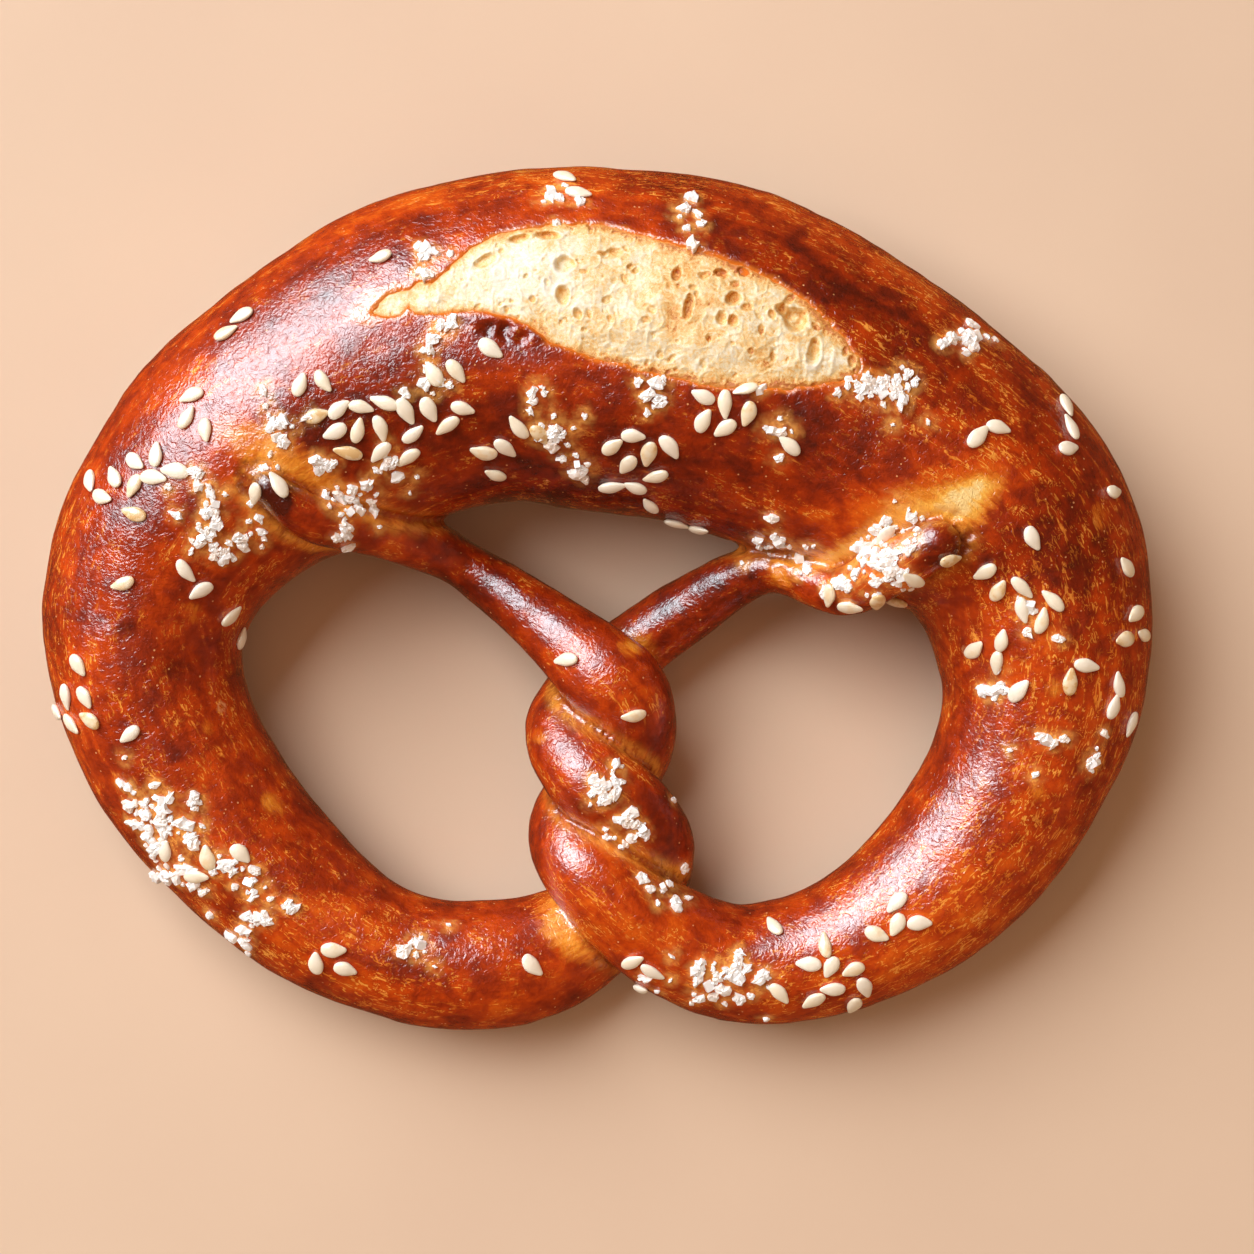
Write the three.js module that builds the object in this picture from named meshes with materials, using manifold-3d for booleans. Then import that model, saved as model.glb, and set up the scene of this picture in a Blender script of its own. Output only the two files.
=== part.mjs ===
// A soft pretzel: one rope of dough, fat in its belly and thin in its arms, laid in two loops,
// wound round itself in a twist, with both ends pressed on to the loops. The belly has burst open
// along its top. Millimetres, +Z up; the table is z = 0 and the twist points to -Y.
import * as THREE from 'three';
import { mergeVertices } from 'three/addons/utils/BufferGeometryUtils.js';
import Module from 'manifold-3d';

// ---- Driving dimensions ----

// The middle of the whole pretzel, in the numbers of the rope below. The part's origin is there.
const MIDDLE_X = 0.07;
const MIDDLE_Y = -0.58;

// The rope, from the tip of the right arm to the tip of the left arm. Each place on it gives
// x, y and the height of the rope's middle, then the rope's width and its thickness.
const RIGHT_ARM = [
  [44.6, 7.4, 28.3, 6.3, 6.5],
  [38.5, 4.1, 25, 7.5, 8.5],
  [32.5, 1.4, 19.5, 7.2, 8.5],
  [23, 4, 14, 7, 8.5],
  [13, -1, 8.5, 9, 9.5],
];
const TWIST_FROM_RIGHT_ARM = [
  [2.5, -8.5, 5.2, 10, 10.5],
  [-2.5, -13.5, 6.2, 10.5, 11.5],
  [-4.5, -18.5, 10.5, 11, 12],
  [-1, -24, 15, 12, 11.5],
  [4.5, -29, 14, 12, 11.5],
  [7.5, -35, 9.5, 12, 12],
  [3.5, -42.5, 5.6, 13.5, 11.5],
];
const LEFT_LOOP = [
  [-11.5, -50, 7.5, 17.5, 17],
  [-30, -48, 8, 18, 19],
  [-47.5, -35, 9, 22.5, 22],
  [-60, -15.5, 10.5, 25.5, 25.5],
  [-60.5, 1.5, 12, 28.5, 28.5],
  [-49, 18.5, 13.5, 35.5, 32.5],
];
const BELLY = [
  [-28.5, 30.5, 14.5, 42.5, 36],
  [-13.5, 35, 15, 44.5, 37],
  [0.5, 35, 15, 46, 37],
  [18, 32, 15, 46, 37],
];
const RIGHT_LOOP = [
  [40.5, 21, 14, 41.5, 35],
  [56, 8.5, 13, 34.5, 31],
  [61, -9, 11.5, 28.5, 27.5],
  [57.5, -24, 10, 24.5, 24.5],
  [47.5, -38, 9, 22, 21.5],
  [34.5, -47, 8.5, 18.5, 19],
  [21, -50, 8.5, 16.5, 17.5],
];
const TWIST_TO_LEFT_ARM = [
  [9.5, -46, 11.5, 15.5, 14.5],
  [0, -38, 14.5, 13, 12.5],
  [-3.5, -32.5, 10.5, 12, 12.5],
  [-2, -28, 6.2, 11.5, 11.5],
  [3, -24, 5.6, 11, 11.5],
  [5.5, -18.5, 10, 11, 12],
  [4, -13, 14.5, 12.5, 11.5],
  [0, -9.5, 15, 12.5, 11],
];
const LEFT_ARM = [
  [-8, -2.5, 11.5, 9, 10],
  [-18.5, 5, 9.5, 7, 9],
  [-27.5, 9.5, 17, 8.5, 9],
  [-37, 11, 25, 7, 8.5],
  [-43, 14.8, 28.5, 4.5, 6],
];
const RIGHT_HALF_STARTS = RIGHT_ARM.length + TWIST_FROM_RIGHT_ARM.length + LEFT_LOOP.length + 2;

// Facets: sides round the rope, and the distance between rings where the rope is thin and fat.
const ROPE_SIDES = 18;
const RING_GAP_THIN = 2.2;
const RING_GAP_PER_WIDTH = 0.12;
const TIP_RINGS = 3;

// The burst along the top of the belly: the edge of the torn crust, and how deep the crumb lies.
const BURST_EDGE = [
  [-23.5, 39], [-19, 41.8], [-14.6, 46], [-7, 48.5], [0.6, 48.6], [11, 45.8], [21.2, 42.3],
  [29.4, 36.6], [34.4, 29.8], [28, 27.2], [17.7, 26.9], [8.4, 28.6], [-0.4, 30.9], [-6, 32.6],
  [-10, 35.4], [-15, 36.8], [-22.4, 36.5],
];
const BURST_DEPTH = 1.3;
const BURST_FLOOR = 20;
const ABOVE_ALL = 60;

// Sesame seeds: flat drops, partly sunk in the crust, that rise a little above it. Their middles
// lie SEED_CLEAR or more apart. Each patch gives its middle x and y, how far it reaches in x and y,
// and how many seeds lie in it.
const SEED_LENGTH = 3.7;
const SEED_WIDTH = 2.7;
const SEED_THICKNESS = 1.5;
const SEED_RISE = 0.9;
const SEED_TAPER = 0.8;
const SEED_SIDES = 5;
const SEED_CLEAR = 3;
const SEED_PATCHES = [
  // back edge and left shoulder
  [-3, 54, 0.5, 2, 2], [-28, 44, 0, 0, 1], [-47, 36.5, 5, 1.5, 2], [-53, 23.5, 5, 3, 3],
  // below the burst, from left to right
  [-37, 27.5, 1, 1.2, 2], [-31, 22.5, 5, 3, 9], [-24, 22, 4, 4, 4], [-18.5, 29, 2.5, 1, 2],
  [-18.5, 24, 2, 0.5, 2], [-13.5, 32, 0, 0, 1], [-9.5, 22, 2, 1.5, 2], [-13, 18.5, 1.5, 1, 3],
  [6, 19, 4, 2.5, 6], [5, 14.5, 3, 1, 3], [16.5, 24.5, 4.5, 2, 6], [25, 20, 0, 0, 1],
  [12, 10, 1.5, 0.3, 2],
  // left loop, from the back to the front
  [-65, 14.5, 2, 2, 3], [-58, 16.5, 3, 2.5, 5], [-60.5, 11, 0, 0, 1], [-41.5, 14.5, 3.5, 3.5, 2],
  [-62, 2, 0, 0, 1], [-53.5, 2.5, 1.2, 1, 2], [-47.5, -4.5, 1.5, 5, 3], [-68.5, -9, 0, 0, 1],
  [-69.5, -15, 3, 1.8, 5], [-62, -18, 0, 0, 1], [-52, -35, 7, 4, 4], [-37, -48.5, 9.5, 0.8, 3],
  [-9, -49.5, 0, 0, 1],
  // right loop, from the back to the front
  [50, 21, 5.5, 1.5, 2], [63, 23, 3, 4, 3], [68.5, 14, 1, 2, 1], [57, 8, 0, 0, 1], [70, 4, 0, 0, 1],
  [53, 1.5, 4, 2.5, 3], [58.5, -2, 2.5, 2.5, 3], [71.5, -4, 1.5, 1.5, 3], [52.5, -6.8, 2.5, 0.7, 3],
  [64, -9.5, 1.5, 2, 2], [69, -12.5, 1.5, 0.8, 2], [71.5, -17, 0, 0, 1], [56, -12, 0, 0, 1],
  [40, -43, 4, 3.5, 4], [24, -44.5, 0, 0, 1], [31.5, -49, 3, 2.2, 4], [31, -53, 8, 1, 5],
  // the ends of the arms and the twist
  [38, 8, 0.5, 2.5, 1], [46, 5, 0, 0, 1], [40, 0.5, 3, 2.5, 3], [32.5, -0.5, 1.5, 0.5, 2],
  [-4, -8, 0, 0, 1], [5, -15.5, 0, 0, 1], [6, -50.5, 1.5, 1, 3],
];

// Coarse salt: square crystals, half sunk, in clumps, with the same five numbers for each clump.
const SALT_SIZE = 1.3;
const SALT_RISE = 0.7;
const SALT_CLEAR = 1.6;
const SALT_PATCHES = [
  [-6, 53, 1, 1, 1], [11.5, 50.5, 1.5, 1, 1], [-41, 22.5, 2.5, 2, 2], [-20.5, 28, 1, 2, 1],
  [-27.5, 17, 1.5, 1.5, 1], [-50, 9.5, 2, 5, 3], [-32, 11.5, 4, 3, 2], [-5, 21, 4, 6, 3],
  [8, 26, 1, 2, 1], [23, 21.5, 1.5, 1, 1], [37, 26.5, 4.5, 1.5, 3], [49, 34, 3, 1.5, 2],
  [24, 7.5, 3, 1, 1], [38, 6, 4, 4.5, 3], [57, -1, 4, 1, 1], [53, -12, 1.5, 0.5, 1],
  [60, -19, 1, 1, 1], [66, -22, 1, 1, 1], [-58, -30, 3, 6, 4], [-46.5, -38, 5, 6, 3],
  [-24, -46.5, 1, 1, 1], [1.5, -25, 2.5, 2, 2], [6, -31, 2, 1.5, 1], [9, -39, 3, 2, 1],
  [18, -51, 4, 3, 3],
];
const GOLDEN_ANGLE = 2.399963;
const SCATTER = 0.5;
const MOVING_ROUNDS = 12;

const DOUGH_BROWN = 0x9a4a1c;

// ---- Solids ----

const wasm = await Module();
wasm.setup();

// A closed mesh as a solid that can be joined and cut.
function solidFrom(geometry) {
  const bare = geometry.clone();
  bare.deleteAttribute('normal');
  bare.deleteAttribute('uv');
  const merged = mergeVertices(bare, 1e-5);
  return new wasm.Manifold(new wasm.Mesh({
    numProp: 3,
    vertProperties: new Float32Array(merged.attributes.position.array),
    triVerts: new Uint32Array(merged.index.array),
  }));
}

// A solid as a mesh again.
function geometryFrom(solid) {
  const mesh = solid.getMesh();
  const geometry = new THREE.BufferGeometry();
  geometry.setAttribute('position', new THREE.BufferAttribute(new Float32Array(mesh.vertProperties), 3));
  geometry.setIndex(new THREE.BufferAttribute(new Uint32Array(mesh.triVerts), 1));
  return geometry;
}

// ---- The rope of dough ----

// The rope at any place along a row of stations: a smooth curve through all five numbers.
function ropeAt(stations, place) {
  const last = stations.length - 1;
  const i = Math.min(Math.floor(place), last - 1);
  const t = place - i;
  const b = stations[i];
  const c = stations[i + 1];
  const a = i > 0 ? stations[i - 1] : b.map((v, k) => 2 * v - c[k]);
  const d = i + 2 <= last ? stations[i + 2] : c.map((v, k) => 2 * v - b[k]);
  return b.map((_, k) => 0.5 * (2 * b[k] + (c[k] - a[k]) * t
    + (2 * a[k] - 5 * b[k] + 4 * c[k] - d[k]) * t * t
    + (3 * b[k] - a[k] - 3 * c[k] + d[k]) * t * t * t));
}

// Places for the rings between two stations, closer together where the rope is thin.
function ringPlaces(stations, from, to) {
  const step = 0.02;
  const count = Math.round((to - from) / step);
  const rings = [0];
  for (let k = 1; k <= count; k += 1) {
    const [x0, y0, z0] = ropeAt(stations, from + (k - 1) * step);
    const [x1, y1, z1, width] = ropeAt(stations, from + k * step);
    const gap = RING_GAP_THIN + RING_GAP_PER_WIDTH * width;
    rings.push(rings[k - 1] + Math.hypot(x1 - x0, y1 - y0, z1 - z0) / gap);
  }
  const total = Math.round(rings[count]);
  const places = [];
  let k = 0;
  for (let ring = 0; ring <= total; ring += 1) {
    const wanted = (ring / total) * rings[count];
    while (k < count && rings[k + 1] < wanted) k += 1;
    const part = k < count ? (wanted - rings[k]) / (rings[k + 1] - rings[k]) : 0;
    places.push(from + (k + part) * step);
  }
  places[total] = to;
  return places;
}

// One oval ring of the rope, with its own directions along, across and up.
function ringAt(stations, place, thinner) {
  const [x, y, z, width, thickness] = ropeAt(stations, place);
  const ahead = ropeAt(stations, Math.min(place + 0.01, stations.length - 1));
  const behind = ropeAt(stations, Math.max(place - 0.01, 0));
  const along = new THREE.Vector3(ahead[0] - behind[0], ahead[1] - behind[1], ahead[2] - behind[2]);
  along.normalize();
  const across = new THREE.Vector3().crossVectors(along, new THREE.Vector3(0, 0, 1)).normalize();
  const up = new THREE.Vector3().crossVectors(across, along);
  return { middle: new THREE.Vector3(x, y, z), along, across, up,
    halfWidth: width / 2 - thinner, halfThickness: thickness / 2 - thinner };
}

// The rings of a stretch of rope, with a rounded tip where the rope ends.
function ringsOf(stations, from, to, thinner) {
  const rings = ringPlaces(stations, from, to).map((place) => ringAt(stations, place, thinner));
  const tip = (ring, direction) => Array.from({ length: TIP_RINGS }, (_, k) => {
    const turn = ((k + 1) / (TIP_RINGS + 0.5)) * (Math.PI / 2);
    const reach = ring.halfWidth * Math.sin(turn) * direction;
    return { ...ring, middle: ring.middle.clone().addScaledVector(ring.along, reach),
      halfWidth: ring.halfWidth * Math.cos(turn), halfThickness: ring.halfThickness * Math.cos(turn) };
  });
  if (from === 0) rings.unshift(...tip(rings[0], -1).reverse());
  if (to === stations.length - 1) rings.push(...tip(rings[rings.length - 1], 1));
  return rings;
}

// A closed skin over the rings.
function ropeSolid(stations, from, to, thinner = 0) {
  const rings = ringsOf(stations, from, to, thinner);
  const points = [];
  for (const ring of rings) {
    for (let side = 0; side < ROPE_SIDES; side += 1) {
      const angle = (side / ROPE_SIDES) * 2 * Math.PI;
      points.push(ring.middle.clone()
        .addScaledVector(ring.across, ring.halfWidth * Math.cos(angle))
        .addScaledVector(ring.up, ring.halfThickness * Math.sin(angle)));
    }
  }
  const triangles = [];
  for (let ring = 0; ring + 1 < rings.length; ring += 1) {
    for (let side = 0; side < ROPE_SIDES; side += 1) {
      const here = ring * ROPE_SIDES + side;
      const beside = ring * ROPE_SIDES + ((side + 1) % ROPE_SIDES);
      triangles.push(here, here + ROPE_SIDES, beside);
      triangles.push(beside, here + ROPE_SIDES, beside + ROPE_SIDES);
    }
  }
  const start = points.push(rings[0].middle) - 1;
  const end = points.push(rings[rings.length - 1].middle) - 1;
  const lastRing = (rings.length - 1) * ROPE_SIDES;
  for (let side = 0; side < ROPE_SIDES; side += 1) {
    const next = (side + 1) % ROPE_SIDES;
    triangles.push(start, side, next);
    triangles.push(end, lastRing + next, lastRing + side);
  }
  const geometry = new THREE.BufferGeometry().setFromPoints(points);
  geometry.setIndex(triangles);
  return solidFrom(geometry);
}

const rope = [...RIGHT_ARM, ...TWIST_FROM_RIGHT_ARM, ...LEFT_LOOP, ...BELLY, ...RIGHT_LOOP,
  ...TWIST_TO_LEFT_ARM, ...LEFT_ARM];

// Both halves of the rope meet in the middle of the belly.
function wholeRope() {
  const oneHalf = ropeSolid(rope, 0, RIGHT_HALF_STARTS);
  const otherHalf = ropeSolid(rope, RIGHT_HALF_STARTS, rope.length - 1);
  return oneHalf.add(otherHalf);
}

// The underside is flat where the dough lay on the tray.
function flattened(dough) {
  const tray = new THREE.BoxGeometry(200, 200, 20);
  tray.translate(0, 0, -10);
  return dough.subtract(solidFrom(tray));
}

// The burst: inside its edge the crust is gone, down to the crumb.
function burst(dough) {
  const edge = new THREE.Shape();
  edge.moveTo(...BURST_EDGE[0]);
  edge.splineThru([...BURST_EDGE.slice(1), BURST_EDGE[0]].map((p) => new THREE.Vector2(...p)));
  const column = new THREE.ExtrudeGeometry(edge, {
    depth: ABOVE_ALL - BURST_FLOOR, bevelEnabled: false, curveSegments: 2,
  });
  column.translate(0, 0, BURST_FLOOR);
  const bellyFrom = RIGHT_HALF_STARTS - 4;
  const bellyTo = RIGHT_HALF_STARTS + 4;
  const crumb = ropeSolid(rope, bellyFrom, bellyTo, BURST_DEPTH);
  return dough.subtract(solidFrom(column).subtract(crumb));
}

// ---- Seeds and salt ----

// A steady draw between 0 and 1.
function draw(number) {
  const value = Math.sin(number * 12.9898) * 43758.5453;
  return value - Math.floor(value);
}

// Places in the patches: each patch is filled from its middle outwards, a little unevenly, and
// what then lies closer together than it may is moved apart.
function placesIn(patches, clear) {
  const places = patches.flatMap(([x, y, reachX, reachY, count], patch) =>
    Array.from({ length: count }, (_, k) => {
      const number = patch * 17 + k + 1;
      const out = Math.sqrt(k / count);
      const turn = k * GOLDEN_ANGLE + patch;
      return {
        x: x + reachX * out * Math.cos(turn) + SCATTER * (draw(number) - 0.5),
        y: y + reachY * out * Math.sin(turn) + SCATTER * (draw(number + 0.3) - 0.5),
        spin: 2 * Math.PI * draw(number + 0.6),
        number,
      };
    }));
  for (let round = 0; round < MOVING_ROUNDS; round += 1) {
    places.forEach((one, k) => places.slice(k + 1).forEach((other) => {
      const gap = Math.hypot(other.x - one.x, other.y - one.y);
      if (gap >= clear) return;
      const share = (clear - gap) / gap / 2;
      const moveX = (other.x - one.x) * share;
      const moveY = (other.y - one.y) * share;
      one.x -= moveX;
      one.y -= moveY;
      other.x += moveX;
      other.y += moveY;
    }));
  }
  return places;
}

// Lays small solids, made round z = 0, on the crust: each lies flat where a plumb line meets it.
function strewn(dough, patches, clear, shapeOf) {
  const crust = new THREE.Mesh(geometryFrom(dough), new THREE.MeshBasicMaterial());
  const plumb = new THREE.Raycaster();
  const down = new THREE.Vector3(0, 0, -1);
  const upward = new THREE.Vector3(0, 0, 1);
  return placesIn(patches, clear).reduce((whole, place) => {
    plumb.set(new THREE.Vector3(place.x, place.y, ABOVE_ALL), down);
    const [met] = plumb.intersectObject(crust);
    if (!met) return whole;
    const shape = shapeOf(place.number);
    shape.rotateZ(place.spin);
    shape.applyQuaternion(new THREE.Quaternion().setFromUnitVectors(upward, met.face.normal));
    shape.translate(met.point.x, met.point.y, met.point.z);
    return whole.add(solidFrom(shape));
  }, dough);
}

// A flat drop, round at one end and narrow at the other.
function seedShape(number) {
  const length = SEED_LENGTH * (0.9 + 0.2 * draw(number + 0.1));
  const shape = new THREE.SphereGeometry(0.5, SEED_SIDES, 3);
  shape.rotateX(Math.PI / 2);
  const points = shape.attributes.position;
  for (let k = 0; k < points.count; k += 1) {
    const narrowing = 1 - SEED_TAPER * Math.max(points.getX(k), 0);
    points.setXYZ(k, points.getX(k) * length, points.getY(k) * SEED_WIDTH * narrowing,
      points.getZ(k) * SEED_THICKNESS);
  }
  shape.translate(0, 0, SEED_RISE - SEED_THICKNESS / 2);
  return shape;
}

// A crystal with square corners, tilted so that an edge stands up.
function saltShape(number) {
  const size = SALT_SIZE * (0.7 + 0.6 * draw(number + 0.1));
  const shape = new THREE.BoxGeometry(size, size * 0.8, size * 0.7);
  shape.rotateX(draw(number + 0.2));
  shape.rotateY(draw(number + 0.4));
  shape.translate(0, 0, SALT_RISE - size / 2);
  return shape;
}

function withToppings(dough) {
  const seeded = strewn(dough, SEED_PATCHES, SEED_CLEAR, seedShape);
  return strewn(seeded, SALT_PATCHES, SALT_CLEAR, saltShape);
}

const pretzel = new THREE.Mesh(
  geometryFrom(withToppings(burst(flattened(wholeRope())))),
  new THREE.MeshStandardMaterial({ color: DOUGH_BROWN, roughness: 0.35, metalness: 0 }),
);
pretzel.name = 'pretzel';
pretzel.position.set(-MIDDLE_X, -MIDDLE_Y, 0);

const part = new THREE.Group();
part.add(pretzel);

export default part;
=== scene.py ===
import math

import bmesh
import bpy
import numpy as np
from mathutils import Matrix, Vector
from mathutils.bvhtree import BVHTree
from mathutils.kdtree import KDTree


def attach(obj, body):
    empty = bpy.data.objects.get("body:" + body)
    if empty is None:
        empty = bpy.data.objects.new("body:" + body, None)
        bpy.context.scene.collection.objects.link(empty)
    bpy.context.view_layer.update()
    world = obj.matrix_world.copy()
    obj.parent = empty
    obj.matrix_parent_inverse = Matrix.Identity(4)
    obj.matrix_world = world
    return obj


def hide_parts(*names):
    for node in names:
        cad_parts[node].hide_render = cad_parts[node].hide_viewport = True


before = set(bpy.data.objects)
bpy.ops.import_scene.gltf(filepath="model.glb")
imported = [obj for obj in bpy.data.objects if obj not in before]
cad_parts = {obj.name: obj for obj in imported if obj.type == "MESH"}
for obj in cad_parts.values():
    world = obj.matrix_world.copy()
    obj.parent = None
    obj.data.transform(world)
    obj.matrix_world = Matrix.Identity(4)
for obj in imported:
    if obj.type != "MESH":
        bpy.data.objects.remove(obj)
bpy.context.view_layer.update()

# ---- The dough ------------------------
# One rope of lye dough, rolled fat in the middle and thin at both ends, laid in two loops, wound
# round itself and pressed down on the loops at its tips, then baked until all of it grew together.

# The rope is given in millimetres, and the frame's origin lies at this place under it.
MM = 0.001
MIDDLE = np.array((0.07, -0.58, 0))

# Places along the rope: x, y, height of its middle, its width and its thickness.
ROPE = np.array([
    # The right arm, from its tip, and down the twist.
    (44.6, 7.4, 28.3, 6.3, 6.5), (38.5, 4.1, 25, 7.5, 8.5), (32.5, 1.4, 19.5, 7.2, 8.5),
    (23, 4, 14, 7, 8.5), (13, -1, 8.5, 9, 9.5),
    (2.5, -8.5, 5.2, 10, 10.5), (-2.5, -13.5, 6.2, 10.5, 11.5), (-4.5, -18.5, 10.5, 11, 12),
    (-1, -24, 15, 12, 11.5), (4.5, -29, 14, 12, 11.5), (7.5, -35, 9.5, 12, 12),
    (3.5, -42.5, 5.6, 13.5, 11.5),
    # The left loop, the belly and the right loop.
    (-11.5, -50, 7.5, 17.5, 17), (-30, -48, 8, 18, 19), (-47.5, -35, 9, 22.5, 22),
    (-60, -15.5, 10.5, 25.5, 25.5), (-60.5, 1.5, 12, 28.5, 28.5), (-49, 18.5, 13.5, 35.5, 32.5),
    (-28.5, 30.5, 14.5, 42.5, 36), (-13.5, 35, 15, 44.5, 37), (0.5, 35, 15, 46, 37),
    (18, 32, 15, 46, 37),
    (40.5, 21, 14, 41.5, 35), (56, 8.5, 13, 34.5, 31), (61, -9, 11.5, 28.5, 27.5),
    (57.5, -24, 10, 24.5, 24.5), (47.5, -38, 9, 22, 21.5), (34.5, -47, 8.5, 18.5, 19),
    (21, -50, 8.5, 16.5, 17.5),
    # Up the twist, and the left arm to its tip.
    (9.5, -46, 11.5, 15.5, 14.5), (0, -38, 14.5, 13, 12.5), (-3.5, -32.5, 10.5, 12, 12.5),
    (-2, -28, 6.2, 11.5, 11.5), (3, -24, 5.6, 11, 11.5), (5.5, -18.5, 10, 11, 12),
    (4, -13, 14.5, 12.5, 11.5), (0, -9.5, 15, 12.5, 11),
    (-8, -2.5, 11.5, 9, 10), (-18.5, 5, 9.5, 7, 9), (-27.5, 9.5, 17, 8.5, 9), (-37, 11, 25, 7, 8.5),
    (-43, 14.8, 28.5, 4.5, 6),
])

# The skin's rings and sides, the grain in which its strands grow together, how it is evened out and
# how it lies on the tray, its final mesh, and a distance that is too far to count.
RING_GAP = 0.8
ROPE_SIDES = 96
TIP_RINGS = 8
THINNEST_HALF = 0.1
GRAIN = 0.5
SHRINK_AND_SWELL = (0.6, -0.62)
HALFWAY = (0.5,)
TRAY_EDGE = 0.6
TRAY_SINK = 0.02
CRUST_TRIANGLES = 190000
FAR = 50.0

# The burst: the edge of the torn crust in plan, how the crust drops at it and then goes deeper
# under the crumb, and the lip that it turns up round it.
BURST_EDGE = [
    (-23.7, 40.2), (-20.2, 41.4), (-17.8, 44), (-14, 46.6), (-7, 48.5), (0.6, 48.6), (11, 45.8),
    (21.2, 42.3), (29.4, 36.6), (34.4, 29.8), (28, 27.2), (17.7, 26.9), (8.4, 28.6), (-0.4, 30.9),
    (-5.6, 32.8), (-9.6, 35.6), (-15, 36.8), (-23.4, 36.7),
]
# A second small tear beside it, a leaf with its wide end at the burst: x, y, half length, half
# width, turn in degrees.
SMALL_TEAR = (-26.4, 37.8, 3.0, 1.5, 20)
# How ragged both edges are: sizes, reaches and seeds of their unevenness.
RAGGED = ((1.4, 0.24, 41), (0.7, 0.14, 42))
BURST_ABOVE = 20
EDGE_DROP = 0.7
EDGE_WALL = (-0.1, 0.5)
HOLLOW_DEPTH = 3.0
HOLLOW_WALL = (0.9, 3.0)
LIP_RISE = 0.14
LIP_PLACE = 0.6
LIP_WIDTH = 1.3


def through(points, place):
    """A smooth curve through the points, at any places counted in points."""
    last = len(points) - 1
    i = np.clip(np.floor(place).astype(int), 0, last - 1)
    t = (place - i)[:, None]
    longer = np.vstack([2 * points[0] - points[1], points, 2 * points[-1] - points[-2]])
    a, b, c, d = (longer[i + k] for k in range(4))
    return 0.5 * (2 * b + (c - a) * t + (2 * a - 5 * b + 4 * c - d) * t ** 2
                  + (3 * b - a - 3 * c + d) * t ** 3)


def unit(v):
    return v / np.linalg.norm(v, axis=-1, keepdims=True)


def even_steps(points, gap):
    """Places along the curve through the points that lie a gap apart, and their lengths."""
    fine = np.linspace(0, len(points) - 1, 200 * len(points))
    line = through(points, fine)[:, :3]
    length = np.concatenate([[0], np.cumsum(np.linalg.norm(np.diff(line, axis=0), axis=1))])
    count = int(length[-1] / gap)
    wanted = np.linspace(0, length[-1], count + 1)
    return np.interp(wanted, length, fine), wanted


def rings_of_rope():
    """Middle, directions and half sizes of each ring, with a rounded tip at both ends."""
    place, length = even_steps(ROPE, RING_GAP)
    ring = through(ROPE, place)
    small = 0.01
    last = len(ROPE) - 1
    ahead = through(ROPE, np.clip(place + small, 0, last))
    behind = through(ROPE, np.clip(place - small, 0, last))
    along = unit(ahead[:, :3] - behind[:, :3])
    across = unit(np.cross(along, (0, 0, 1)))
    up = np.cross(across, along)
    rings = dict(middle=ring[:, :3], along=along, across=across, up=up, length=length,
                 half=ring[:, 3:5] / 2)
    turn = (np.arange(TIP_RINGS) + 1) / (TIP_RINGS + 0.3) * math.pi / 2
    for end, sign in ((0, -1), (-1, 1)):
        tip = {name: np.repeat(values[end][None], TIP_RINGS, axis=0) for name, values in rings.items()}
        reach = (tip["half"][:, 0] * np.sin(turn) * sign)[:, None]
        tip["middle"] = tip["middle"] + tip["along"] * reach
        tip["length"] = tip["length"] + reach[:, 0]
        tip["half"] = tip["half"] * np.cos(turn)[:, None]
        for name, values in rings.items():
            pair = [values, tip[name]] if end else [tip[name][::-1], values]
            rings[name] = np.concatenate(pair)
    return rings


def in_metres(points):
    """The rope's places in the frame's metres."""
    return (np.asarray(points) - MIDDLE) * MM


def in_millimetres(points):
    """The frame's places in the rope's millimetres."""
    return np.asarray(points) / MM + MIDDLE


def in_scene(name, data):
    """An object with this mesh, light or camera."""
    made = bpy.data.objects.new(name, data)
    bpy.context.scene.collection.objects.link(made)
    return made


def shade(mesh, smooth):
    mesh.polygons.foreach_set("use_smooth", np.full(len(mesh.polygons), smooth))


def mesh_object(name, points, faces):
    """A smooth mesh object from points in the rope's millimetres."""
    mesh = bpy.data.meshes.new(name)
    mesh.from_pydata(in_metres(points).tolist(), [], faces)
    shade(mesh, True)
    return in_scene(name, mesh)


def rows_of(layer, name, kind=float, width=3):
    """What a mesh's layer holds, as rows of numbers."""
    flat = np.empty(len(layer) * width, kind)
    layer.foreach_get(name, flat)
    return flat.reshape(-1, width)


def points_of(mesh):
    return in_millimetres(rows_of(mesh.vertices, "co"))


def move_points(mesh, points):
    mesh.vertices.foreach_set("co", in_metres(points).ravel())
    mesh.update()


def apply_modifiers(made):
    """Puts the result of an object's modifiers into its mesh."""
    seen = made.evaluated_get(bpy.context.evaluated_depsgraph_get())
    result = bpy.data.meshes.new_from_object(seen)
    made.modifiers.clear()
    old = made.data
    made.data = result
    bpy.data.meshes.remove(old)


def evened(mesh, values, pulls):
    """The values at the points, each drawn in turn by these shares to the mean of its neighbours."""
    a, b = rows_of(mesh.edges, "vertices", int, 2).T
    count = len(values)
    neighbours = np.bincount(a, minlength=count) + np.bincount(b, minlength=count)
    columns = values.reshape(count, -1).T
    for pull in pulls:
        totals = np.array([np.bincount(a, c[b], count) + np.bincount(b, c[a], count) for c in columns])
        columns = columns + pull * (totals / neighbours - columns)
    return columns.T.reshape(values.shape)


# Large numbers that turn a cell's place into a steady random draw.
SCRAMBLE_PLACE = (73856093, 19349663, 83492791)
SCRAMBLE_AGAIN = 1274126177


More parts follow.
